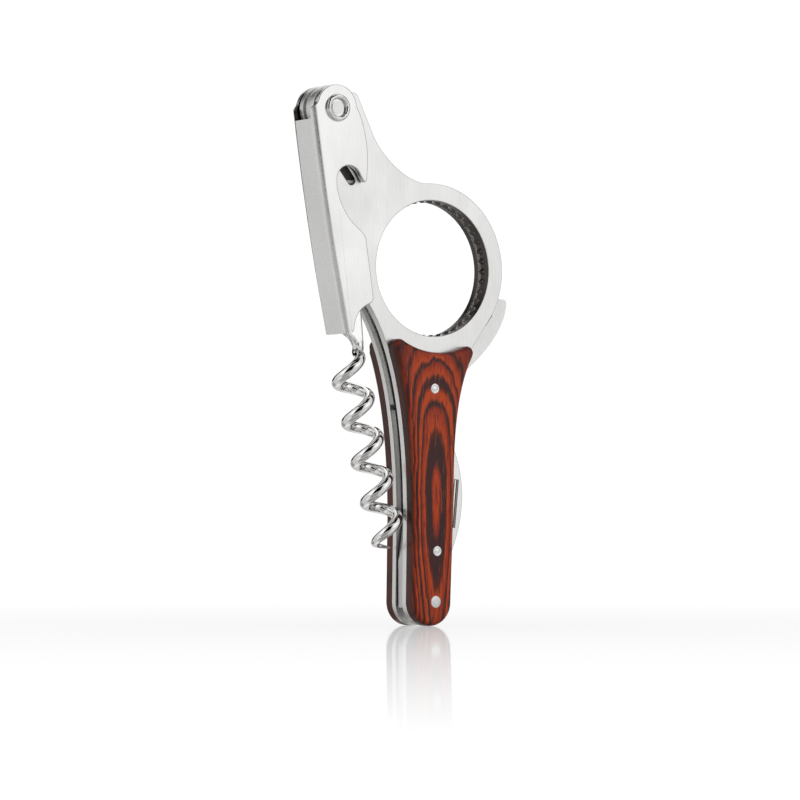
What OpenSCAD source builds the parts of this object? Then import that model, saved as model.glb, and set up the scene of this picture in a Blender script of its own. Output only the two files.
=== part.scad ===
// Waiter's corkscrew with a toothed ring, in millimetres.
// Two steel liners and a toothed middle plate are riveted between wooden scales. A channel lever
// folds over the top arm, a worm folds along the left edge and a knife folds into the right edge.
// +X runs from the lever to the ring, +Y from the near side to the far side, +Z up the handle.
// The origin is under the middle of the closed tool, on the surface its handle end stands on.

/* [Ring] */
// Diameter of the round opening in the liners
ring_hole_d = 30; // [28:0.5:31]
// Width of the steel band around the opening
ring_band_w = 3.8; // [3.4:0.1:4.2]
// Number of gripping teeth around the opening
tooth_count = 42; // [24:1:60]
// How far the teeth stand in from the edge of the opening
tooth_h = 0.4; // [0.2:0.1:1]

/* [Plates] */
// Thickness of each liner
liner_t = 1.5; // [1.2:0.1:1.8]
// Space between the liners
gap_t = 2.6; // [2.5:0.1:3]
// Thickness of the toothed middle plate
middle_t = 2; // [1.6:0.1:2.2]
// Thickness of the toothed rim itself
rim_t = 1.7; // [1.2:0.1:2]
// Thickness of each wooden scale
scale_t = 3; // [2:0.25:4]

/* [Lever] */
// Outer width of the lever's channel
lever_w = 9; // [8.8:0.1:10]
// Wall thickness of the lever's channel
lever_wall = 1.2; // [0.8:0.1:1.3]
// Outer radius of the two folds along the channel
fold_r = 1.6; // [1.3:0.1:2]
// How far the back of the lever bows out from a straight line
spine_bow = 0.5; // [0.3:0.1:0.8]

/* [Worm] */
// Diameter of the worm's wire
wire_d = 2.5; // [2:0.1:2.6]
// Outer diameter of the worm
worm_d = 8.6; // [8:0.1:8.7]
// Rise of the worm per turn, along its own axis
worm_pitch = 9.05; // [8.5:0.05:9.5]
// Number of turns
worm_turns = 4.8; // [4:0.01:4.82]
// Turns over which the wire narrows to its point
point_turns = 0.55; // [0.3:0.05:0.8]
// Thickness of the worm's flat eye
eye_t = 2.3; // [2:0.1:2.4]

/* [Knife] */
// Thickness of the blade
knife_t = 2; // [1.4:0.1:2]
// Number of serrations along the cutting edge
serration_count = 13; // [6:1:20]
// Depth of each serration
serration_h = 0.5; // [0.2:0.1:0.8]

/* [Rivets and pins] */
// Radius of the lever's tubular rivet
lever_rivet_r = 2.2; // [1.9:0.1:2.3]
// Radius of the lever rivet's heads
lever_head_r = 3.05; // [2.8:0.05:3.4]
// Radius of the solid core in the lever rivet
lever_core_r = 1.45; // [1.2:0.05:1.5]
// Radius of the rivets through the scales
scale_rivet_r = 1.1; // [0.9:0.05:1.2]
// Radius of the core in each scale rivet
scale_core_r = 0.6; // [0.5:0.05:0.7]
// Radius of the knife's pivot rivet
knife_rivet_r = 1.3; // [1.1:0.05:1.4]
// Radius of the worm's hinge pin
worm_pin_r = 1; // [0.8:0.05:1.1]
// Radius of the hidden pin that anchors the back spring
spring_pin_r = 0.6; // [0.5:0.05:0.7]
// Radial running clearance of every hinge
run_gap = 0.05; // [0.02:0.01:0.08]

/* [Hidden] */
$fn = 48;

// Outlines below are [x, z] points measured from the centre of the ring.
ring_at = [5.76, 78.6];
ring_hole_r = ring_hole_d / 2;
ring_r = ring_hole_r + ring_band_w;
stack_t = 2 * liner_t + gap_t;
handle_t = stack_t + 2 * scale_t;

// Hinge centres
lever_at = [-26.2, 33.8];
worm_at = [-20, -4.2];
knife_at = [-1.3, -73.3];

// Rivets through the scales, and the spring's anchor
upper_rivet_at = [-1.5, -26.6];
lower_rivet_at = [-0.9, -62.2];
anchor_at = [-4.55, -38];

// Handle: side curves from the ring to the straight stretch, and the round end
left_curve = [[-16.9, -8.4], [-9.9, -18], [-6.9, -34], [-6.9, -55]];
right_curve = [[9.7, -18.4], [5.5, -25], [4, -35], [4.1, -50]];
end_at = [-2, -73.4];
end_r = 5.2;

// Arm: rounded head, stop corner and the hollow curve from the neck to the ring
head_r = 5.2;
stop_corner = [[-20.6, 37.6], [-19.8, 37.1]];
neck_curve = [[-15.3, 27.8], [-13, 24], [-7, 18.6], [-1.64, 18.73]];
neck_end_angle = 95;
flare_angle = -36;
flare_end = [11, -16.8];
arm_foot = [[-26.3, 4], [-25.2, 0.5]];
worm_lug_r = 3.3;
arm_gap = 0.5;

// Slanted relief slot through the arm
slot_from = [-25.3, 23.2];
slot_to = [-21.5, 18.4];
slot_w = 2;

// Middle plate: relief around the worm's eye, and the short slit beside the lug
worm_relief_to = [-29, -3.2];
slit_from = [15.1, -11.9];
slit_to = [16.7, -9.8];
slit_w = 0.7;

// Lever channel: back of the channel, foot, cap hook and head
spine_top = [-32.3, 31.2];
spine_foot = [-24, -15];
lever_head_edge_r = 5.15;
foot_corner_at = [-22.95, -13.75];
foot_corner_r = 1.25;
foot_curve = [[-21.7, -13.5], [-21.2, -10.2], [-19.3, -9], [-17.2, -8.2]];
heel_curve = [[-16.7, -7.4], [-17.2, -3], [-18.1, 1.5], [-18.6, 5.4]];
shoulder_curve = [[-18.6, 5.4], [-18.9, 7.2], [-21, 7.9], [-22.4, 9.4]];
throat_curve = [[-22.4, 9.4], [-24.2, 11.1], [-26.1, 14.6], [-26.2, 17.6]];
hook_at = [-23.1, 18.3];
hook_r = 3.1;
hook_tip_at = [-19, 18.5];
hook_tip_r = 0.5;
crest_curve = [[-18.5, 18.6], [-17.8, 23.5], [-18.3, 29.5], [-21.1, 34.4]];

// Worm: top of the helix axis, its lean from vertical and the angle of its first point
axis_top = [-21.14, -20.16];
axis_lean = 15.74;
worm_start_angle = -15;
shank_end = [-17.95, -17.3];
shank_lean = 9.3;
eye_r = 3.1;

// Knife outline
tang_r = 2.9;
back_root = [[1.5, -72.5], [3.6, -69.5], [5.7, -64.5], [8, -58]];
back_belly = [[8, -58], [10.3, -50], [9.4, -41.5], [3.4, -33.8]];
edge_curve = [[3.4, -33.8], [3.4, -42], [2.2, -52], [2.1, -60]];
heel_points = [[2.1, -64], [1.4, -67.5]];
nick_from = [7.6, -46.5];
nick_to = [6.6, -57];
nick_r = 0.5;

// Outer lug of the toothed plate
lug_curve = [[21, -7.2], [20.6, -12], [16, -18], [8.5, -23.3]];
lug_tip_at = [20.05, -7.05];
lug_tip_r = 0.95;
tail_end = [[5.2, -28.5], [4.2, -30], [-7.2, -30]];

steel = "gainsboro";
bright = "white";
wood = "sienna";

// Points along a cubic curve with the four control points p
function curve(p, n = 12, from = 0, to = 1) = [
    for (i = [0:n])
        let (t = from + (to - from) * i / n, u = 1 - t)
        u * u * u * p[0] + 3 * u * u * t * p[1] + 3 * u * t * t * p[2] + t * t * t * p[3]];

// Points along an arc of radius r about c, from angle a to angle b
function arc(c, r, a, b, n = 12) = [
    for (i = [0:n])
        let (g = a + (b - a) * i / n)
        c + r * [cos(g), sin(g)]];

function reversed(v) = [for (i = [len(v) - 1:-1:0]) v[i]];
function shifted(v, d) = [for (p = v) p + d];
function unit(v) = v / norm(v);

// Back of the lever: an arc of large radius bowed out from spine_top to spine_foot
spine_chord = norm(spine_top - spine_foot);
spine_r = (spine_chord * spine_chord / 4 + spine_bow * spine_bow) / (2 * spine_bow);
spine_dir = unit(spine_foot - spine_top);
spine_mid = (spine_top + spine_foot) / 2;
spine_centre = spine_mid + (spine_r - spine_bow) * [-spine_dir[1], spine_dir[0]];
function spine_angle(p) = atan2(p[1] - spine_centre[1], p[0] - spine_centre[0]);
top_angle = spine_angle(spine_top) + (spine_angle(spine_top) < 0 ? 360 : 0);
foot_angle = spine_angle(spine_foot) + (spine_angle(spine_foot) < 0 ? 360 : 0);

// Draws a flat outline at thickness t, its near face at y
module plate(y, t) {
    translate([ring_at[0], y + t, ring_at[1]])
        rotate([90, 0, 0])
            linear_extrude(t)
                children();
}

// A round pin along Y at p, centred on the middle of the handle unless y is given
module pin(p, r, length, y = 0) {
    translate([ring_at[0] + p[0], y, ring_at[1] + p[1]])
        rotate([90, 0, 0])
            cylinder(r = r, h = length, center = true);
}

// A flat ring around p, its near face at y
module flat_ring(p, r, hole_r, y, t) {
    plate(y, t)
        translate(p)
            difference() {
                circle(r);
                circle(hole_r);
            }
}

// Handle's sides and round end below the ring, on the left from curve position t
function left_side(t, inset = 0) = concat(
    [end_at + [-end_r + inset, 0]],
    reversed(shifted(curve(left_curve, 16, t, 1), [inset, 0])));
function right_side(t) = curve(right_curve, 14, t, 1);
function round_end() = arc(end_at, end_r, 0, -180, 20);

module rounded_slot(from, to, w) {
    run = to - from;
    way = atan2(run[1], run[0]);
    polygon(concat(
        arc(from, w / 2, way + 90, way + 270),
        arc(to, w / 2, way - 90, way + 90)));
}

// Left edge of the arm, which stays inside the closed lever's channel
function arm_left() = arc(spine_centre, spine_r - lever_wall - arm_gap,
                          top_angle + 2.8, top_angle + 0.15, 6);

// Head, stop corner and neck, from the back of the head to the top of the ring
function arm_right(r) = concat(
    arc(lever_at, r, 205, asin((stop_corner[0][1] - lever_at[1]) / r), 20),
    stop_corner,
    curve(neck_curve));

module liner_outline() {
    difference() {
        polygon(concat(
            arm_right(head_r),
            arc([0, 0], ring_r, neck_end_angle - 3, flare_angle, 44),
            [flare_end],
            right_side(0),
            round_end(),
            left_side(0),
            arc(worm_at, worm_lug_r, -50, -190, 16),
            [arm_foot[1], arm_foot[0]],
            arm_left()));
        circle(ring_hole_r, $fn = 120);
        rounded_slot(slot_from, slot_to, slot_w);
        translate(lever_at)
            circle(lever_rivet_r + run_gap);
        translate(worm_at)
            circle(worm_pin_r);
        translate(upper_rivet_at)
            circle(scale_rivet_r);
        translate(lower_rivet_at)
            circle(scale_rivet_r);
        translate(knife_at)
            circle(knife_rivet_r);
        translate(anchor_at)
            circle(spring_pin_r);
    }
}

module near_liner() {
    color(steel)
        plate(-stack_t / 2, liner_t)
            liner_outline();
}

module far_liner() {
    color(steel)
        plate(stack_t / 2 - liner_t, liner_t)
            liner_outline();
}

// Toothed opening: alternating tips and roots around the ring
module toothed_hole() {
    step = 360 / tooth_count;
    root_inset = 0.3;
    polygon([for (i = [0:tooth_count - 1], k = [0:2])
        let (r = k == 0 ? ring_hole_r - tooth_h : ring_hole_r + root_inset,
             g = (i + [0, 0.3, 0.7][k]) * step)
        r * [cos(g), sin(g)]]);
}

module toothed_plate() {
    edge_inset = 0.4;
    left_inset = 1.5;
    eye_room = 0.5;
    near_y = -gap_t / 2;
    rim_w = 1;
    color(steel)
        difference() {
            plate(near_y, middle_t)
                difference() {
                    polygon(concat(
                        arm_right(head_r - edge_inset),
                        arc([0, 0], ring_r - edge_inset, neck_end_angle - 3, -18, 40),
                        arc(lug_tip_at, lug_tip_r, 110, 0, 6),
                        curve(lug_curve, 16),
                        tail_end,
                        reversed(shifted(curve(left_curve, 10, 0, 0.5), [left_inset, 0])),
                        arc([0, 0], ring_r - edge_inset, 202, 180, 8),
                        [arm_foot[1], arm_foot[0]],
                        arm_left()));
                    toothed_hole();
                    rounded_slot(slot_from, slot_to, slot_w);
                    rounded_slot(worm_at, worm_relief_to, 2 * (eye_r + eye_room));
                    rounded_slot(slit_from, slit_to, slit_w);
                    translate(lever_at)
                        circle(lever_rivet_r + run_gap);
                    translate(upper_rivet_at)
                        circle(scale_rivet_r);
                }
            flat_ring([0, 0], ring_hole_r + rim_w, ring_hole_r - rim_w,
                      near_y + rim_t, middle_t);
        }
}

// Thin rings that take up the space between the middle plate and the far liner
module spacer_shims() {
    y = -gap_t / 2 + middle_t;
    t = gap_t - middle_t;
    lever_shim_r = 4.2;
    rivet_shim_r = 2.8;
    color(steel) {
        flat_ring(lever_at, lever_shim_r, lever_rivet_r + run_gap, y, t);
        flat_ring(upper_rivet_at, rivet_shim_r, scale_rivet_r, y, t);
    }
}

module back_spring() {
    t = 1.9;
    recess = 1.5;
    inner_inset = 3.6;
    end_recess = 0.5;
    end_inset = 2.7;
    end_top = 9;
    free_end = 1.2;
    lug_r = 2.2;
    lug_arm = 3.3;
    edge_at = end_at - [end_r, 0];
    outer_side = left_side(0.58, recess);
    inner_side = left_side(0.58, inner_inset);
    last = len(inner_side) - 1;
    color(steel)
        plate(-t / 2, t)
            difference() {
                polygon(concat(
                    [edge_at + [end_recess, -free_end], edge_at + [end_recess, end_top]],
                    [for (i = [1:last]) outer_side[i]],
                    [for (i = [last:-1:1]) inner_side[i]],
                    [lower_rivet_at + [-lug_arm + 1, lug_r]],
                    arc(lower_rivet_at, lug_r, 90, -90, 16),
                    [lower_rivet_at + [-lug_arm, -lug_r], edge_at + [end_inset, -free_end]]));
                translate(lower_rivet_at)
                    circle(scale_rivet_r);
                translate(anchor_at)
                    circle(spring_pin_r);
            }
}

module spring_anchor_pin() {
    color(bright)
        pin(anchor_at, spring_pin_r, stack_t);
}

module scale_outline() {
    top_r = 18.6;
    corner_r = 1.5;
    left_angle = 239.5;
    right_angle = 292.8;
    left_at = (top_r + corner_r) * [cos(left_angle), sin(left_angle)];
    right_at = (top_r + corner_r) * [cos(right_angle), sin(right_angle)];
    difference() {
        polygon(concat(
            arc(left_at, corner_r, 200, left_angle - 180, 10),
            arc([0, 0], top_r, left_angle, right_angle, 20),
            arc(right_at, corner_r, right_angle - 180, -20, 10),
            right_side(0.06),
            round_end(),
            left_side(0.3)));
        translate(upper_rivet_at)
            circle(scale_rivet_r);
        translate(lower_rivet_at)
            circle(scale_rivet_r);
        translate(knife_at)
            circle(knife_rivet_r);
    }
}

module near_scale() {
    color(wood)
        plate(-handle_t / 2, scale_t)
            scale_outline();
}

module far_scale() {
    color(wood)
        plate(stack_t / 2, scale_t)
            scale_outline();
}

module scale_rivet_sleeves() {
    color(bright)
        for (p = [upper_rivet_at, lower_rivet_at])
            flat_ring(p, scale_rivet_r, scale_core_r, -handle_t / 2, handle_t);
}

module scale_rivet_cores() {
    color(bright)
        for (p = [upper_rivet_at, lower_rivet_at])
            pin(p, scale_core_r, handle_t);
}

module knife_pivot_rivet() {
    color(steel)
        pin(knife_at, knife_rivet_r, handle_t);
}

module worm_pin() {
    color(steel)
        pin(worm_at, worm_pin_r, stack_t);
}

// Section of the channel, x measured from the spine's centre of curvature
module channel_section() {
    half = lever_w / 2;
    inner_half = half - lever_wall;
    inner_r = fold_r - lever_wall;
    leg = 18;
    outside = arc([spine_r - fold_r, half - fold_r], fold_r, 90, 0, 6);
    inside = arc([spine_r - lever_wall - inner_r, inner_half - inner_r], inner_r, 0, 90, 3);
    upper = concat([[spine_r - leg, half]], outside);
    lower = [for (p = reversed(upper)) [p[0], -p[1]]];
    inner_upper = concat(inside, [[spine_r - leg, inner_half]]);
    inner_lower = [for (p = reversed(inner_upper)) [p[0], -p[1]]];
    polygon(concat(upper, lower, inner_lower, inner_upper));
}

module lever_side() {
    polygon(concat(
        [spine_foot + [-4, 0]],
        arc(foot_corner_at, foot_corner_r, 270, 350, 8),
        curve(foot_curve),
        curve(heel_curve),
        curve(shoulder_curve),
        curve(throat_curve),
        arc(hook_at, hook_r, 180, 20, 20),
        arc(hook_tip_at, hook_tip_r, 200, 360, 8),
        curve(crest_curve),
        arc(lever_at, lever_head_edge_r, 20, 172, 24),
        [spine_top + [-0.9, 1.4], spine_top + [-4, 0]]));
}

module lever() {
    sweep_from = top_angle - 1.2;
    sweep_to = foot_angle + 0.3;
    color(steel)
        difference() {
            intersection() {
                plate(-lever_w, 2 * lever_w)
                    lever_side();
                translate([ring_at[0] + spine_centre[0], 0, ring_at[1] + spine_centre[1]])
                    rotate([90, 0, 0])
                        rotate([0, 0, sweep_from])
                            rotate_extrude(angle = sweep_to - sweep_from, $fn = 720)
                                channel_section();
            }
            translate([ring_at[0] + spine_top[0] - 5, lever_wall - lever_w / 2,
                       ring_at[1] + spine_top[1]])
                cube([10, lever_w - 2 * lever_wall, 12]);
            pin(lever_at, lever_rivet_r, 2 * lever_w);
        }
}

// Tubular rivet whose domed heads roll over a core
module lever_rivet() {
    half = lever_w / 2;
    dome_h = 0.85;
    lip = 0.35;
    dome_at = (lever_head_r + lever_core_r + lip) / 2;
    dome_w = (lever_head_r - lever_core_r - lip) / 2;
    dome = [for (i = [0:10])
        let (g = 18 * i)
        [dome_at + dome_w * cos(g), half + dome_h * sin(g)]];
    foot = [for (p = reversed(dome)) [p[0], -p[1]]];
    color(bright)
        translate([ring_at[0] + lever_at[0], 0, ring_at[1] + lever_at[1]])
            rotate([90, 0, 0])
                rotate_extrude()
                    polygon(concat(
                        dome,
                        [[lever_core_r, half], [lever_core_r, -half]],
                        foot,
                        [[lever_rivet_r, -half], [lever_rivet_r, half]]));
}

module lever_rivet_core() {
    recess = 0.35;
    color(steel)
        pin(lever_at, lever_core_r, lever_w + recess);
}

module lever_washers() {
    t = 0.35;
    side_gap = 0.05;
    washer_r = 4.4;
    inner_y = lever_w / 2 - lever_wall - t - side_gap;
    color(steel) {
        flat_ring(lever_at, washer_r, lever_rivet_r, inner_y, t);
        flat_ring(lever_at, washer_r, lever_rivet_r, -inner_y - t, t);
    }
}

// Flat eye of the worm, which narrows to the wire
module worm_hub() {
    across = [cos(shank_lean), sin(shank_lean)];
    end_half = wire_d / 2;
    color(bright)
        plate(-eye_t / 2, eye_t)
            difference() {
                union() {
                    translate(worm_at)
                        circle(eye_r);
                    polygon(concat(
                        [worm_at + [-eye_r, 0], [-22.4, -13.2]],
                        curve([[-22.1, -14.2], [-21.4, -15.9], [-19.8, -15.4],
                               shank_end - end_half * across], 8),
                        [shank_end + end_half * across, [-17.3, -11], worm_at + [2.4, -1.9]]));
                }
                translate(worm_at)
                    circle(worm_pin_r + run_gap);
            }
}

// Worm axis: down its length, and across it towards the ring
axis_down = [sin(axis_lean), 0, -cos(axis_lean)];
axis_across = [cos(axis_lean), 0, sin(axis_lean)];
axis_origin = [ring_at[0] + axis_top[0], 0, ring_at[1] + axis_top[1]];
coil_r = (worm_d - wire_d) / 2;
function coil_angle(s) = worm_start_angle - 360 * s / worm_pitch;
function coil_radial(s) = cos(coil_angle(s)) * axis_across + sin(coil_angle(s)) * [0, 1, 0];
function coil_point(s) = axis_origin + s * axis_down + coil_r * coil_radial(s);

// The shank's curve from the eye into the first turn
shank_start = [ring_at[0] + shank_end[0], 0, ring_at[1] + shank_end[1]];
shank_down = [sin(shank_lean), 0, -cos(shank_lean)];
coil_start_dir = unit(coil_point(0.01) - coil_point(0));
shank_curve = [shank_start, shank_start + 1.4 * shank_down,
               coil_point(0) - 1.3 * coil_start_dir, coil_point(0)];

module worm_wire() {
    steps_per_turn = 22;
    sides = 12;
    coil_len = worm_turns * worm_pitch;
    steps = round(worm_turns * steps_per_turn);
    point_len = point_turns * worm_pitch;
    point_r = 0.15;
    lead = curve(shank_curve, 6);
    path = concat(
        [for (i = [0:5]) lead[i]],
        [for (i = [0:steps]) coil_point(coil_len * i / steps)]);
    radii = concat(
        [for (i = [0:5]) wire_d / 2],
        [for (i = [0:steps])
            let (left = coil_len * (1 - i / steps),
                 k = min(1, left / point_len))
            point_r + (wire_d / 2 - point_r) * pow(k, 0.7)]);
    last = len(path) - 1;
    rings = [for (i = [0:last])
        let (ahead = unit(path[min(i + 1, last)] - path[max(i - 1, 0)]),
             dir = i == 0 ? shank_down : ahead,
             out = coil_radial(max(0, i - 6) * coil_len / steps),
             side = unit(out - (out * dir) * dir),
             up = cross(dir, side))
        [for (k = [0:sides - 1])
            let (g = 360 * k / sides)
            path[i] + radii[i] * (cos(g) * side + sin(g) * up)]];
    points = [for (r = rings, p = r) p];
    walls = [for (i = [0:last - 1], k = [0:sides - 1], half = [0, 1])
        let (a = i * sides + k, b = i * sides + (k + 1) % sides)
        half == 0 ? [a, a + sides, b + sides] : [a, b + sides, b]];
    start = [for (k = [0:sides - 1]) k];
    tip = [for (k = [sides - 1:-1:0]) last * sides + k];
    color(bright)
        polyhedron(points, concat(walls, [start, tip]), convexity = 10);
}

module knife_blade() {
    edge = curve(edge_curve, 2 * serration_count);
    serrated = [for (i = [0:2 * serration_count]) edge[i] + [serration_h * (i % 2), 0]];
    nick = nick_to - nick_from;
    color(steel)
        difference() {
            plate(-knife_t / 2, knife_t)
                difference() {
                    polygon(concat(
                        arc(knife_at, tang_r, 75, 375, 30),
                        curve(back_root),
                        curve(back_belly, 20),
                        serrated,
                        heel_points));
                    translate(knife_at)
                        circle(knife_rivet_r + run_gap);
                }
            translate([ring_at[0] + nick_from[0], -knife_t / 2, ring_at[1] + nick_from[1]])
                rotate([0, 90 - atan2(nick[1], nick[0]), 0])
                    cylinder(r = nick_r, h = norm(nick));
        }
}

module knife_washers() {
    t = 0.2;
    side_gap = 0.05;
    washer_r = 2.8;
    inner_y = gap_t / 2 - side_gap - t;
    color("goldenrod") {
        flat_ring(knife_at, washer_r, knife_rivet_r + run_gap, -inner_y - t, t);
        flat_ring(knife_at, washer_r, knife_rivet_r + run_gap, inner_y, t);
    }
}

near_liner();
far_liner();
toothed_plate();
spacer_shims();
back_spring();
spring_anchor_pin();
near_scale();
far_scale();
scale_rivet_sleeves();
scale_rivet_cores();
knife_pivot_rivet();
worm_pin();
lever();
lever_rivet();
lever_rivet_core();
lever_washers();
worm_hub();
worm_wire();
knife_blade();
knife_washers();
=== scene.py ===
# Waiter's corkscrew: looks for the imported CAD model, in metres, in the CAD's own frame.
import math

import bmesh
import bpy
from mathutils import Matrix, Vector


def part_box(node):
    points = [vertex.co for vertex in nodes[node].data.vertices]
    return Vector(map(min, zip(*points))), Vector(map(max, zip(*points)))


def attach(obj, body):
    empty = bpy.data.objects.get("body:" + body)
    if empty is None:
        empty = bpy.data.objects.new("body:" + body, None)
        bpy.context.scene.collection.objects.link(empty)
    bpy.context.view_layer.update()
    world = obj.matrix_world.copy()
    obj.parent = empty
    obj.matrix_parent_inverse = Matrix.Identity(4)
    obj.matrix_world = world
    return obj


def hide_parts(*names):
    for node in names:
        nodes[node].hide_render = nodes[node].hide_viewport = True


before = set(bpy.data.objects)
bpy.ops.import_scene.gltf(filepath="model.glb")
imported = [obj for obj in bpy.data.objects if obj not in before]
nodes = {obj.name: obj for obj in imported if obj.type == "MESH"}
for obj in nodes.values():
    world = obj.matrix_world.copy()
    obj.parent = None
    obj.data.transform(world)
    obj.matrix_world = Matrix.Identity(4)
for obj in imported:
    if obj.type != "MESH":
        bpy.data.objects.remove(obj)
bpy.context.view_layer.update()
scene = bpy.context.scene
MM = 0.001

# ---------------------------------------------------------------- camera
VIEW_YAW = math.radians(-34.10)
VIEW_TILT = math.radians(-1.875)
CAMERA_AT = Vector((-0.4866, -0.7171, 0.0212))
LENS = 177.5
SENSOR = 36

back = Vector((math.sin(VIEW_YAW) * math.cos(VIEW_TILT),
               -math.cos(VIEW_YAW) * math.cos(VIEW_TILT),
               math.sin(VIEW_TILT)))
right = Vector((math.cos(VIEW_YAW), math.sin(VIEW_YAW), 0))
up = back.cross(right)
camera = bpy.data.objects.new("camera", bpy.data.cameras.new("camera"))
scene.collection.objects.link(camera)
camera.data.lens = LENS
camera.data.sensor_width = SENSOR
camera.data.clip_start = 0.01
facing = Matrix((right, up, back)).transposed().to_4x4()
camera.matrix_world = Matrix.Translation(CAMERA_AT) @ facing
scene.camera = camera

# ---------------------------------------------------------------- node helpers


class Tree:
    """Short calls for building one material's nodes."""

    def __init__(self, name):
        self.mat = bpy.data.materials.new(name)
        self.mat.use_nodes = True
        self.nt = self.mat.node_tree
        self.shader = self.nt.nodes["Principled BSDF"]
        self.coord = self.nt.nodes.new("ShaderNodeTexCoord")

    def put(self, node, socket, value):
        if isinstance(value, bpy.types.NodeSocket):
            self.nt.links.new(value, node.inputs[socket])
        else:
            node.inputs[socket].default_value = value

    def set(self, **values):
        for name, value in values.items():
            self.put(self.shader, name.replace("_", " "), value)

    def math(self, op, a, b=0.0):
        node = self.nt.nodes.new("ShaderNodeMath")
        node.operation = op
        for i, v in enumerate((a, b)):
            self.put(node, i, v)
        return node.outputs[0]

    def squares(self, a, b):
        return self.math("ADD", self.math("MULTIPLY", a, a), self.math("MULTIPLY", b, b))

    def xyz(self, source):
        """X, Y and Z of the object's own position ("Object") or normal ("Normal") at the point."""
        node = self.nt.nodes.new("ShaderNodeSeparateXYZ")
        self.put(node, 0, self.coord.outputs[source])
        return node.outputs

    def place(self, scale, turn=(0, 0, 0), at=(0, 0, 0)):
        """The object's own position, for noise with about scale features per metre on each axis."""
        node = self.nt.nodes.new("ShaderNodeMapping")
        self.put(node, "Vector", self.coord.outputs["Object"])
        node.inputs["Scale"].default_value = scale
        node.inputs["Rotation"].default_value = turn
        node.inputs["Location"].default_value = at
        return node.outputs[0]

    def noise(self, vector, detail, rough, distortion=0.0):
        node = self.nt.nodes.new("ShaderNodeTexNoise")
        self.put(node, "Vector", vector)
        node.inputs["Scale"].default_value = 1.0
        node.inputs["Detail"].default_value = detail
        node.inputs["Roughness"].default_value = rough
        node.inputs["Distortion"].default_value = distortion
        return node.outputs[0]

    def ramp(self, fac, stops):
        node = self.nt.nodes.new("ShaderNodeValToRGB")
        self.put(node, 0, fac)
        points = node.color_ramp.elements
        while len(points) < len(stops):
            points.new(0.5)
        for point, (at, colour) in zip(points, stops):
            point.position = at
            point.color = (*colour, 1)
        return node.outputs[0]

    def span(self, value, low, high, to_low, to_high):
        node = self.nt.nodes.new("ShaderNodeMapRange")
        for i, v in enumerate((value, low, high, to_low, to_high)):
            self.put(node, i, v)
        return node.outputs[0]

    def mix(self, fac, a, b, blend="MIX"):
        node = self.nt.nodes.new("ShaderNodeMix")
        node.data_type = "RGBA"
        node.blend_type = blend
        self.put(node, 0, fac)
        for socket, v in ((6, a), (7, b)):
            self.put(node, socket, (*v, 1) if isinstance(v, tuple) and len(v) == 3 else v)
        return node.outputs[2]

    def bump(self, height, distance, strength):
        node = self.nt.nodes.new("ShaderNodeBump")
        node.inputs["Strength"].default_value = strength
        node.inputs["Distance"].default_value = distance
        self.put(node, "Height", height)
        return node.outputs[0]


def grey(v):
    """A faintly warm grey."""
    return (v, v * 0.995, v * 0.98)


# Openings whose walls get painted shade: centre X, centre Z and radius, in metres
RING_OPENING = (0.00576, 0.0786, 0.0153)
ARM_SLOT = (-0.01764, 0.0994, 0.0036)
# Colour of the painted shade on opening walls and edges, and the share of it that edges facing +X
# get
PAINTED_SHADE_COLOUR = (0.085, 0.072, 0.064)
EDGE_SHADE = 0.62
# Size of a normal's Y up to which a point is all wall, and from which it isn't wall at all
WALL_FULL, WALL_NONE = 0.45, 0.8
# Position times normal along Y, in metres, below which a face looks inwards
INWARD = -0.0004


def wall_shade(t, openings, edge_low, edge_high):
    """How much painted shade a point gets: 1 on walls of the openings, EDGE_SHADE on edges that
    face +X.
    """
    place, normal = t.xyz("Object"), t.xyz("Normal")
    shade = t.span(normal[0], edge_low, edge_high, 0.0, EDGE_SHADE)
    wall = t.span(t.math("ABSOLUTE", normal[1]), WALL_FULL, WALL_NONE, 1.0, 0.0)
    for x, z, r in openings:
        from_centre = t.squares(t.math("SUBTRACT", place[0], x), t.math("SUBTRACT", place[2], z))
        inside = t.math("LESS_THAN", from_centre, r * r)
        shade = t.math("MAXIMUM", shade, t.math("MULTIPLY", inside, wall))
    return shade


def inner_side(t):
    """1 on faces that look towards the middle of the object along Y, as a channel's inside does; it
    masks painted shade.
    """
    return t.math("LESS_THAN", t.math("MULTIPLY", t.xyz("Object")[1], t.xyz("Normal")[1]), INWARD)


# Steel's brushed lines, its finer scratches and its worn patches
BRUSHED = (5200, 5200, 230)
SCRATCHED = (9000, 9000, 2600)
PATCHED = (60, 60, 34)


def steel(name, light, rough, lean=0.0, grain=1.0, dark=0.92, openings=(), edges=(0.30, 0.75),
          hollow=False):
    """Brushed steel whose grain runs up the piece, tilted by lean degrees about Y.

    grain is the depth of the lines and dark the tone of the darkest ones. edges is the span of
    the normal's X over which an edge gets painted shade. The walls of openings get painted
    shade too, and hollow paints shade on the inside of a channel.
    """
    t = Tree(name)
    turn = (0, math.radians(lean), 0)
    lines = t.noise(t.place(BRUSHED, turn), 4, 0.6)
    fine = t.noise(t.place(SCRATCHED, turn), 2, 0.6)
    worn = t.noise(t.place(PATCHED, turn), 4, 0.6, 0.6)
    tone = t.math("ADD", t.math("MULTIPLY", lines, 0.88), t.math("MULTIPLY", fine, 0.12))
    colour = t.ramp(tone, [(0.34, grey(light * dark)), (0.5, grey(light)),
                           (0.68, grey(light * 1.04))])
    colour = t.mix(t.span(worn, 0.42, 0.72, 0.0, 0.16), colour, grey(light * 0.82))
    # Painted shade: darkens the walls of the openings and the edges that face +X
    shade = wall_shade(t, openings, *edges)
    # Painted shade on the inside of the channel
    if hollow:
        shade = t.math("MAXIMUM", shade, inner_side(t))
    colour = t.mix(shade, colour, PAINTED_SHADE_COLOUR)
    t.set(Metallic=1.0, Base_Color=colour)
    spread = t.math("ADD", t.span(worn, 0.3, 0.7, rough * 0.82, rough * 1.2),
                    t.span(lines, 0.3, 0.7, -0.03, 0.03))
    t.set(Roughness=spread, Normal=t.bump(tone, 0.000006 * grain, 0.6))
    return t.mat


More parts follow.
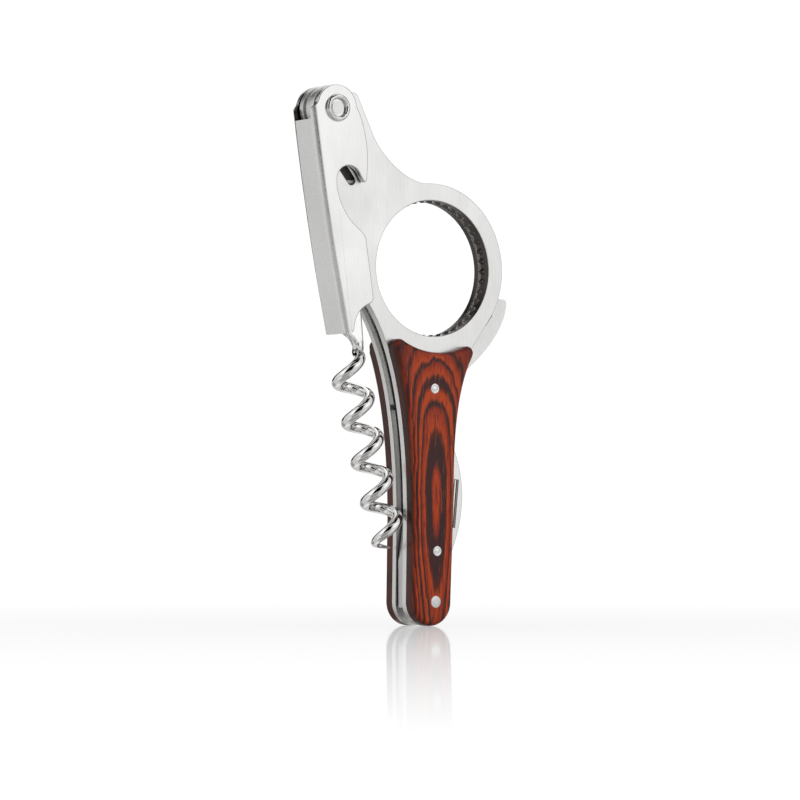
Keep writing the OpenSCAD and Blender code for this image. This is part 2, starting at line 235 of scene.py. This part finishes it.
def polished(name, light, rough, ripple):
    """Polished or plated metal with light handling marks and a faint ripple, in metres."""
    t = Tree(name)
    marks = t.noise(t.place((900, 900, 900)), 5, 0.62, 0.8)
    waves = t.noise(t.place((170, 170, 170)), 2, 0.5)
    fine = t.noise(t.place((6000, 6000, 1500)), 2, 0.5)
    t.set(Metallic=1.0, Base_Color=t.ramp(marks, [(0.3, grey(light * 0.93)), (0.7, grey(light))]))
    t.set(Roughness=t.span(marks, 0.35, 0.75, rough, rough * 2.2))
    t.set(Normal=t.bump(t.math("ADD", waves, t.math("MULTIPLY", fine, 0.05)), ripple, 0.5))
    return t.mat


# Turning marks, in radians of a sine wave for each metre of radius
TURNING_MARKS = 42000.0


def turned(name, light, rough, at):
    """Steel with concentric turning marks around the point at, on faces across Y."""
    t = Tree(name)
    place = t.xyz("Object")
    from_centre = t.squares(t.math("SUBTRACT", place[0], at[0]),
                            t.math("SUBTRACT", place[2], at[1]))
    rings = t.math("SINE", t.math("MULTIPLY", t.math("SQRT", from_centre), TURNING_MARKS))
    marks = t.noise(t.place((1400, 1400, 1400)), 4, 0.6)
    tone = t.math("ADD", t.math("MULTIPLY", rings, 0.12), marks)
    t.set(Metallic=1.0, Base_Color=t.ramp(tone, [(0.3, grey(light * 0.86)), (0.7, grey(light))]))
    t.set(Roughness=t.span(marks, 0.3, 0.7, rough * 0.8, rough * 1.3),
          Normal=t.bump(tone, 0.000008, 0.5))
    return t.mat


# ---------------------------------------------------------------- rosewood
# Centre of the oval figure
FIGURE_X = 0.0046
FIGURE_Z = 0.0290
# How much faster the figure runs across the handle than up it, low down and near the ring,
# and the heights between which one turns into the other
ACROSS = 5.2
ACROSS_TOP = 1.9
WIDENS_FROM, WIDENS_TO = 0.036, 0.060
# How much slower the figure runs down from its centre than up, and the distance it covers
BELOW = 0.62
REACH = 0.042
# How far slow and fast noise push the rings about, in metres
DRIFT = 0.0075
RAGGED = 0.0030
DARK = (0.058, 0.020, 0.018)
DEEP = (0.130, 0.020, 0.009)
RED = (0.350, 0.036, 0.008)
ORANGE = (0.600, 0.078, 0.010)
FIBRE = (0.30, 0.024, 0.006)
PORE = (0.040, 0.012, 0.008)
FLECK = (0.60, 0.105, 0.024)
# Colour of the painted shade on the scales' rounded side faces
PAINTED_EDGE_SHADE = (0.050, 0.018, 0.012)
# Distance from the centre in mm, and the colour there
FIGURE = [(0.0, RED), (3.0, ORANGE), (5.0, RED), (6.6, DARK), (12.0, DARK), (13.6, DEEP),
          (14.8, ORANGE), (18.8, RED), (19.8, DARK), (20.5, DARK), (21.4, ORANGE), (23.0, ORANGE),
          (24.0, DEEP), (24.6, DARK), (25.6, DARK), (26.4, ORANGE), (28.2, RED), (28.8, DARK),
          (29.2, DARK), (29.9, ORANGE), (31.4, RED), (32.1, DARK), (32.5, DARK), (33.2, RED),
          (36.0, DEEP), (37.0, DARK), (38.0, RED)]


def rosewood(name, shift):
    """Red laminated wood: nested ovals of dark glue lines, short pores, and painted shade on its
    rounded edges.

    shift moves the noise, so that the two scales differ.
    """
    t = Tree(name)
    place = t.xyz("Object")
    wander = t.noise(t.place((90, 90, 42), at=(shift, 0, shift)), 3, 0.55)
    ragged = t.noise(t.place((900, 900, 130), at=(0, shift, 0)), 4, 0.65)
    drift = t.math("MULTIPLY", t.math("SUBTRACT", wander, 0.5), DRIFT)
    across = t.span(place[2], WIDENS_FROM, WIDENS_TO, ACROSS, ACROSS_TOP)
    dx = t.math("MULTIPLY", t.math("SUBTRACT", place[0], FIGURE_X), across)
    rise = t.math("SUBTRACT", place[2], FIGURE_Z)
    above = t.math("MAXIMUM", rise, 0.0)
    below = t.math("MULTIPLY", t.math("MINIMUM", rise, 0.0), BELOW)
    dz = t.math("ADD", above, below)
    far = t.math("ADD", t.math("SQRT", t.squares(dx, dz)), drift)
    far = t.math("ADD", far, t.math("MULTIPLY", t.math("SUBTRACT", ragged, 0.5), RAGGED))
    figure = t.ramp(t.math("DIVIDE", far, REACH), [(d * MM / REACH, c) for d, c in FIGURE])
    fibre = t.noise(t.place((2600, 2600, 120)), 4, 0.7)
    colour = t.mix(t.span(fibre, 0.30, 0.72, 0.0, 0.42), figure, FIBRE, "OVERLAY")
    pores = t.noise(t.place((3400, 3400, 330), at=(shift, 0, 0)), 2, 0.5)
    colour = t.mix(t.span(pores, 0.56, 0.68, 0.0, 0.75), colour, PORE)
    flecks = t.noise(t.place((2100, 2100, 210), at=(0, 0, shift)), 2, 0.5)
    colour = t.mix(t.span(flecks, 0.60, 0.74, 0.0, 0.5), colour, FLECK)
    # Painted shade on faces that turn from the flat face towards the side
    side = t.math("SUBTRACT", 1.0, t.math("ABSOLUTE", t.xyz("Normal")[1]))
    colour = t.mix(t.span(side, 0.04, 0.8, 0.0, 0.9), colour, PAINTED_EDGE_SHADE)
    t.set(Base_Color=colour, Roughness=t.span(fibre, 0.3, 0.7, 0.24, 0.36), Specular_IOR_Level=0.2)
    t.set(Coat_Weight=0.1, Coat_Roughness=0.1)
    deep = t.math("ADD", t.math("MULTIPLY", pores, -0.7), t.math("MULTIPLY", fibre, 0.4))
    t.set(Normal=t.bump(deep, 0.00004, 0.55))
    return t.mat


BRASS_DULL = (0.50, 0.34, 0.12)
BRASS_BRIGHT = (0.78, 0.60, 0.28)


def brass(name):
    """Plain brass with dull patches."""
    t = Tree(name)
    marks = t.noise(t.place((1500, 1500, 1500)), 5, 0.6)
    t.set(Metallic=1.0, Base_Color=t.ramp(marks, [(0.3, BRASS_DULL), (0.7, BRASS_BRIGHT)]))
    t.set(Roughness=t.span(marks, 0.3, 0.7, 0.25, 0.5), Normal=t.bump(marks, 0.00001, 0.5))
    return t.mat


# ---------------------------------------------------------------- CAD nodes
# Degrees that the closed lever's grain leans from Z
LEVER_LEAN = 10.2
# The knife's pivot rivet, as X and Z
PIVOT = (0.00446, 0.0053)
OPENINGS = (RING_OPENING, ARM_SLOT)
# Each material, and the CAD nodes that have it
MATERIALS = {
    "satin": (steel("satin_steel", 0.86, 0.30, openings=OPENINGS), "near_liner far_liner"),
    "plate": (steel("plate_steel", 0.84, 0.32, openings=OPENINGS), "toothed_plate spacer_shims"),
    # The lever gets painted shade inside its channel
    "lever": (steel("lever_steel", 0.88, 0.27, lean=LEVER_LEAN, grain=0.8, dark=0.93, hollow=True),
              "lever"),
    "dim": (steel("dim_steel", 0.30, 0.38, dark=0.8), "lever_washers"),
    "spring": (steel("spring_steel", 0.66, 0.30, dark=0.8), "back_spring spring_anchor_pin"),
    "blade": (steel("blade_steel", 0.84, 0.20, grain=0.6, edges=(0.12, 0.4)), "knife_blade"),
    "chrome": (polished("worm_chrome", 0.90, 0.05, 0.00002), "worm_hub worm_wire worm_pin"),
    "rivet": (polished("bright_rivet", 0.84, 0.12, 0.00001),
              "scale_rivet_sleeves scale_rivet_cores lever_rivet"),
    "core": (steel("rivet_core_steel", 0.80, 0.30), "lever_rivet_core"),
    "pivot": (turned("pivot_rivet", 0.74, 0.26, PIVOT), "knife_pivot_rivet"),
    "brass": (brass("washer_brass"), "knife_washers"),
    "wood_near": (rosewood("rosewood_near", 0.0), "near_scale"),
    "wood_far": (rosewood("rosewood_far", 3.7), "far_scale"),
}


def paint(obj, key):
    obj.data.materials.clear()
    obj.data.materials.append(MATERIALS[key][0])


for key, (material, names) in MATERIALS.items():
    for name in names.split():
        paint(nodes[name], key)

# Vertices closer than this are one, in metres
WELD = 0.000002
# Edge breaks, in mm, so that stamped and ground edges catch the light
EDGE_BREAK = {"toothed_plate": 0.06, "back_spring": 0.12}
EDGE_SEGMENTS = 3
EDGE_ANGLE = math.radians(40)
for name, width in EDGE_BREAK.items():
    node = nodes[name]
    weld = node.modifiers.new("weld", "WELD")
    weld.merge_threshold = WELD
    bevel = node.modifiers.new("edge_break", "BEVEL")
    bevel.width = width * MM
    bevel.segments = EDGE_SEGMENTS
    bevel.limit_method = "ANGLE"
    bevel.angle_limit = EDGE_ANGLE
    bevel.miter_outer = "MITER_ARC"


# ---------------------------------------------------------------- pieces
def finish_piece(bm, name, key, body, smooth):
    """Turns a bmesh into a painted piece that rides on a CAD body, sharp at angles above smooth."""
    bmesh.ops.recalc_face_normals(bm, faces=bm.faces)
    for face in bm.faces:
        face.smooth = True
    for edge in bm.edges:
        edge.smooth = len(edge.link_faces) == 2 and edge.calc_face_angle(0) < smooth
    mesh = bpy.data.meshes.new(name)
    bm.to_mesh(mesh)
    bm.free()
    piece = bpy.data.objects.new(name, mesh)
    scene.collection.objects.link(piece)
    paint(piece, key)
    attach(piece, body)
    return piece


# Rivets through the scales, and the worm's hinge, as X and Z
UPPER_RIVET = (0.00426, 0.0520)
LOWER_RIVET = (0.00486, 0.0164)
WORM_HINGE = (-0.01424, 0.0744)
RIVET_R = 0.0011
RIVET_CORE_R = 0.0006
PIVOT_R = 0.0013
# Faces that turn less than this are one flat
FLAT_ANGLE = math.radians(0.5)
SMOOTH_OUTLINE = math.radians(50)
SMOOTH_ROUND = math.radians(60)
# An edge nearer than this to a hole's centre belongs to the hole
HOLE_REACH = 0.0017
# An edge within this of the outermost Y is on the outline, and turns by more than RIM_ANGLE radians
ON_FACE = 0.00001
RIM_ANGLE = 1


def rounded(source, name, key, body, sides, radius, holes, segments):
    """Replaces a CAD node by a copy whose outline is rounded over on the given sides.

    A side is -1 for near and 1 for far. The edges of its holes stay as they are.
    """
    bm = bmesh.new()
    bm.from_mesh(nodes[source].data)
    bmesh.ops.remove_doubles(bm, verts=bm.verts, dist=WELD)
    bmesh.ops.dissolve_limit(bm, angle_limit=FLAT_ANGLE, verts=bm.verts, edges=bm.edges)
    for side in sides:
        outer = max(side * v.co.y for v in bm.verts)

        def on_outline(edge):
            mid = (edge.verts[0].co + edge.verts[1].co) / 2
            clear = all(math.hypot(mid.x - x, mid.z - z) > HOLE_REACH for x, z in holes)
            return clear and all(side * v.co.y > outer - ON_FACE for v in edge.verts)

        rim = [e for e in bm.edges
               if on_outline(e) and len(e.link_faces) == 2 and e.calc_face_angle(0) > RIM_ANGLE]
        bmesh.ops.bevel(bm, geom=rim, offset=radius, offset_type="OFFSET", segments=segments,
                        profile=0.5, affect="EDGES", clamp_overlap=False)
    piece = finish_piece(bm, name, key, body, SMOOTH_OUTLINE)
    flats = piece.modifiers.new("flat_shading", "WEIGHTED_NORMAL")
    flats.keep_sharp = True
    flats.weight = 100
    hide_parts(source)


NEAR, FAR, BOTH = (-1,), (1,), (-1, 1)
SCALE_ROUND = 0.0013
EYE_ROUND = 0.00085
LEVER_ROUND = 0.0003
LINER_ROUND = 0.00022
BLADE_ROUND = 0.0002
# Bevel segments of a full round and of a small edge break
ROUND, BREAK = 7, 3
SCALE_HOLES = (UPPER_RIVET, LOWER_RIVET, PIVOT)
rounded("near_scale", "near_scale_wood", "wood_near", "handle",
        NEAR, SCALE_ROUND, SCALE_HOLES, ROUND)
rounded("far_scale", "far_scale_wood", "wood_far", "handle",
        FAR, SCALE_ROUND, SCALE_HOLES, ROUND)
rounded("worm_hub", "worm_eye", "chrome", "worm",
        BOTH, EYE_ROUND, (WORM_HINGE,), ROUND)
rounded("lever", "lever_channel", "lever", "lever",
        BOTH, LEVER_ROUND, (), BREAK)
rounded("near_liner", "near_liner_plate", "satin", "handle",
        NEAR, LINER_ROUND, (), BREAK)
rounded("far_liner", "far_liner_plate", "satin", "handle",
        FAR, LINER_ROUND, (), BREAK)
rounded("knife_blade", "knife_blade_ground", "blade", "knife",
        BOTH, BLADE_ROUND, (), BREAK)


LATHE_STEPS = 48


def lathe(bm, centre, side, face_y, profile):
    """Spins (radius, height) points about Y at centre, standing off face_y towards side."""
    rows = []
    for r, h in profile:
        if r == 0:
            rows.append([bm.verts.new((centre[0], face_y + side * h, centre[1]))])
            continue
        ring = []
        for i in range(LATHE_STEPS):
            g = 2 * math.pi * i / LATHE_STEPS
            ring.append(bm.verts.new((centre[0] + r * math.cos(g), face_y + side * h,
                                      centre[1] + r * math.sin(g))))
        rows.append(ring)
    for a, b in zip(rows, rows[1:]):
        for i in range(LATHE_STEPS):
            j = (i + 1) % LATHE_STEPS
            if len(b) == 1:
                bm.faces.new((a[i], a[j], b[0]))
            else:
                bm.faces.new((a[i], a[j], b[j], b[i]))
    if len(rows[0]) > 1:
        bm.faces.new(rows[0][::-1])


near_y, far_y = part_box("near_scale")[0].y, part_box("far_scale")[1].y
# Rivet heads: their height over the scales and where they start inside them, in metres, and
# their profiles as parts of a radius and of the height
HEAD_H = 0.00012
HEAD_SINK = -0.0002
SLEEVE_HEAD = [(1.02, 0.2), (0.94, 0.75), (0.82, 1)]
CORE_HEAD = [(1.18, 0.95), (1.06, 0.35), (0.96, 0.35), (0.84, 0.7), (0.5, 0.85), (0, 0.9)]
PIVOT_HEAD = [(1.02, 0.15), (0.95, 0.6), (0.8, 0.85), (0.4, 0.98), (0, 1)]


def head_profile(*parts):
    """Profile of a head from (radius, points) pairs, from inside the scale to the middle."""
    first_r, first_points = parts[0]
    foot = (first_r * first_points[0][0], HEAD_SINK)
    return [foot] + [(r * across, h * HEAD_H) for r, points in parts for across, h in points]


bm = bmesh.new()
for centre in (UPPER_RIVET, LOWER_RIVET):
    for side, y in ((-1, near_y), (1, far_y)):
        lathe(bm, centre, side, y, head_profile((RIVET_R, SLEEVE_HEAD), (RIVET_CORE_R, CORE_HEAD)))
finish_piece(bm, "scale_rivet_heads", "rivet", "handle", SMOOTH_ROUND)
bm = bmesh.new()
for side, y in ((-1, near_y), (1, far_y)):
    lathe(bm, PIVOT, side, y, head_profile((PIVOT_R, PIVOT_HEAD)))
finish_piece(bm, "knife_pivot_heads", "pivot", "handle", SMOOTH_ROUND)

# ---------------------------------------------------------------- worm wire
# The same helix as the CAD's, with more sides and steps so that its reflections run smoothly
RING_AT = Vector((5.76, 0, 78.6)) * MM
AXIS_LEAN = math.radians(15.74)
SHANK_LEAN = math.radians(9.3)
START_ANGLE = math.radians(-15)
AXIS_TOP = RING_AT + Vector((-21.14, 0, -20.16)) * MM
SHANK_AT = RING_AT + Vector((-17.95, 0, -17.3)) * MM
WIRE_R = 0.00125
COIL_R = 0.00305
PITCH = 0.00905
TURNS = 4.8
POINT_LEN = 0.55 * PITCH
POINT_R = 0.00015
POINT_CURVE = 0.7
TIP_LEN = 0.0001
# Straight neck inside the shank, which starts thinner by NECK_SLIM
NECK_RUN = 0.0032
NECK_SLIM = 0.0002
# Handles of the curve that leads from the shank into the coil
SHANK_HANDLE = 1.4 * MM
COIL_HANDLE = 1.3 * MM
NECK_STEPS = 8
LEAD_STEPS = 16
STEPS_PER_TURN = 72
WIRE_SIDES = 32
axis_down = Vector((math.sin(AXIS_LEAN), 0, -math.cos(AXIS_LEAN)))
axis_across = Vector((math.cos(AXIS_LEAN), 0, math.sin(AXIS_LEAN)))
shank_down = Vector((math.sin(SHANK_LEAN), 0, -math.cos(SHANK_LEAN)))


def coil_radial(s):
    g = START_ANGLE - 2 * math.pi * s / PITCH
    return math.cos(g) * axis_across + math.sin(g) * Vector((0, 1, 0))


def coil_point(s):
    return AXIS_TOP + s * axis_down + COIL_R * coil_radial(s)


def cubic(p, t):
    u = 1 - t
    return u ** 3 * p[0] + 3 * u * u * t * p[1] + 3 * u * t * t * p[2] + t ** 3 * p[3]


def wire():
    """A round tube along the neck, the lead and the coil, which narrows to a point."""
    start_dir = (coil_point(0.00001) - coil_point(0)).normalized()
    lead = [SHANK_AT, SHANK_AT + SHANK_HANDLE * shank_down,
            coil_point(0) - COIL_HANDLE * start_dir, coil_point(0)]
    length = TURNS * PITCH
    steps = round(TURNS * STEPS_PER_TURN)
    path, radii = [], []
    for i in range(NECK_STEPS):
        k = 1 - i / NECK_STEPS
        path.append(SHANK_AT - k * NECK_RUN * shank_down)
        radii.append(WIRE_R - NECK_SLIM * k)
    for i in range(LEAD_STEPS):
        path.append(cubic(lead, i / LEAD_STEPS))
        radii.append(WIRE_R)
    for i in range(steps + 1):
        s = length * i / steps
        k = min(1, (length - s) / POINT_LEN)
        path.append(coil_point(s))
        radii.append(POINT_R + (WIRE_R - POINT_R) * k ** POINT_CURVE)
    bm = bmesh.new()
    rings = []
    out = axis_across
    for i, (p, r) in enumerate(zip(path, radii)):
        way = (path[min(i + 1, len(path) - 1)] - path[max(i - 1, 0)]).normalized()
        if i == 0:
            way = shank_down
        out = (out - out.dot(way) * way).normalized()
        other = way.cross(out)
        rings.append([bm.verts.new(p + r * (math.cos(2 * math.pi * k / WIRE_SIDES) * out
                                            + math.sin(2 * math.pi * k / WIRE_SIDES) * other))
                      for k in range(WIRE_SIDES)])
    for a, b in zip(rings, rings[1:]):
        for k in range(WIRE_SIDES):
            j = (k + 1) % WIRE_SIDES
            bm.faces.new((a[k], a[j], b[j], b[k]))
    bm.faces.new(rings[0][::-1])
    tip = bm.verts.new(path[-1] + TIP_LEN * (path[-1] - path[-2]).normalized())
    for k in range(WIRE_SIDES):
        bm.faces.new((rings[-1][k], rings[-1][(k + 1) % WIRE_SIDES], tip))
    return bm


worm = finish_piece(wire(), "worm_tube", "chrome", "worm", SMOOTH_ROUND)
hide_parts("worm_wire")


# ---------------------------------------------------------------- stage and light
def plane(name, size, at, towards=None):
    """A stage rectangle of the given width and height, turned towards a point if there is one."""
    mesh = bpy.data.meshes.new(name)
    w, h = size[0] / 2, size[1] / 2
    mesh.from_pydata([(-w, -h, 0), (w, -h, 0), (w, h, 0), (-w, h, 0)], [], [(0, 1, 2, 3)])
    obj = bpy.data.objects.new(name, mesh)
    scene.collection.objects.link(obj)
    obj.location = at
    if towards is not None:
        obj.rotation_mode = "QUATERNION"
        obj.rotation_quaternion = (Vector(towards) - Vector(at)).to_track_quat("Z", "Y")
    return obj


# How much of the floor mirrors under the object, and the distance over which that fades, in metres
MIRROR = 0.58
MIRROR_REACH = 0.52
# Brightness of the floor and of the world for the object, and as the camera sees them
FLOOR_LIGHT = 0.62
FLOOR_SEEN = 1.12
ROOM_LIGHT = 0.74
ROOM_SEEN = 1.05
STRIP_LIGHT = 1.02
FLOOR_WHITE = (0.95, 0.95, 0.95, 1)
FLOOR_MATT = 0.12
FLOOR_ROUGH = 0.05


def floor_material():
    """A white glowing floor that mirrors the object near its foot."""
    t = Tree("floor")
    nt = t.nt
    glow = nt.nodes.new("ShaderNodeEmission")
    matt = nt.nodes.new("ShaderNodeBsdfDiffuse")
    gloss = nt.nodes.new("ShaderNodeBsdfGlossy")
    seen = nt.nodes.new("ShaderNodeLightPath").outputs["Is Camera Ray"]
    t.put(glow, "Strength", t.span(seen, 0, 1, FLOOR_LIGHT, FLOOR_SEEN))
    matt.inputs["Color"].default_value = FLOOR_WHITE
    gloss.inputs["Roughness"].default_value = FLOOR_ROUGH
    body = nt.nodes.new("ShaderNodeMixShader")
    top = nt.nodes.new("ShaderNodeMixShader")
    body.inputs[0].default_value = FLOOR_MATT
    distance = nt.nodes.new("ShaderNodeVectorMath")
    distance.operation = "LENGTH"
    t.put(distance, 0, t.coord.outputs["Object"])
    t.put(top, 0, t.span(distance.outputs["Value"], 0.0, MIRROR_REACH, MIRROR, 0.0))
    nt.links.new(glow.outputs[0], body.inputs[1])
    nt.links.new(matt.outputs[0], body.inputs[2])
    nt.links.new(body.outputs[0], top.inputs[1])
    nt.links.new(gloss.outputs[0], top.inputs[2])
    nt.links.new(top.outputs[0], nt.nodes["Material Output"].inputs["Surface"])
    return t.mat


floor = plane("floor", (8, 8), (0, 0, 0))
floor.data.materials.append(floor_material())

world = bpy.data.worlds.new("world")
world.use_nodes = True
sky = world.node_tree
either = sky.nodes.new("ShaderNodeMixShader")
for socket, lit, strength in ((1, sky.nodes.new("ShaderNodeBackground"), ROOM_LIGHT),
                              (2, sky.nodes["Background"], ROOM_SEEN)):
    lit.inputs["Color"].default_value = (1, 1, 1, 1)
    lit.inputs["Strength"].default_value = strength
    sky.links.new(lit.outputs[0], either.inputs[socket])
sky.links.new(sky.nodes.new("ShaderNodeLightPath").outputs["Is Camera Ray"], either.inputs[0])
sky.links.new(either.outputs[0], sky.nodes["World Output"].inputs["Surface"])
scene.world = world

MIDDLE = Vector((0.0, 0.0, 0.06))


def around(azimuth, elevation, distance):
    """A point around the object; azimuth 0 is on the near side, 90 on the ring's side."""
    a, e = math.radians(azimuth), math.radians(elevation)
    way = Vector((math.sin(a) * math.cos(e), -math.cos(a) * math.cos(e), math.sin(e)))
    return MIDDLE + distance * way


black = Tree("black_card")
black.set(Base_Color=(0.004, 0.004, 0.004, 1), Roughness=1.0, Specular_IOR_Level=0.0)
# Cards that only reflections see: azimuth, elevation, distance, width and height
CARDS = [(-44, 0, 1.2, 1.4, 2.8), (190, 6, 1.4, 0.8, 2.2), (100, 6, 1.4, 1.3, 2.2),
         (-34, 74, 1.6, 1.8, 0.9)]
for i, (azimuth, elevation, distance, width, height) in enumerate(CARDS):
    card = plane(f"card_{i}", (width, height), around(azimuth, elevation, distance), MIDDLE)
    card.data.materials.append(black.mat)
    card.visible_camera = False
    card.visible_diffuse = False
    card.visible_shadow = False
    card.visible_transmission = False

# Low white strip behind the object, which the floor mirrors
foot = Vector((0, 0, MIDDLE.z))
behind = around(180 + math.degrees(VIEW_YAW), 0, 1.7)
strip = plane("backdrop_strip", (3.6, 0.32), behind - foot, MIDDLE - foot)
white = Tree("backdrop_strip")
white.set(Base_Color=(0, 0, 0, 1), Specular_IOR_Level=0.0, Emission_Color=(1, 1, 1, 1),
          Emission_Strength=STRIP_LIGHT)
strip.data.materials.append(white.mat)

# Soft boxes: azimuth, elevation, distance, size and power
LIGHTS = [(24, 16, 1.3, 0.8, 0.75), (-95, 24, 1.4, 0.7, 0.9), (150, 55, 1.5, 0.8, 1.2)]
for i, (azimuth, elevation, distance, size, power) in enumerate(LIGHTS):
    light = bpy.data.objects.new(f"soft_box_{i}", bpy.data.lights.new(f"soft_box_{i}", "AREA"))
    scene.collection.objects.link(light)
    light.data.shape = "SQUARE"
    light.data.size = size
    light.data.energy = power
    light.location = around(azimuth, elevation, distance)
    light.rotation_mode = "QUATERNION"
    light.rotation_quaternion = (MIDDLE - light.location).to_track_quat("-Z", "Y")

scene.view_settings.view_transform = "Standard"
scene.view_settings.look = "None"
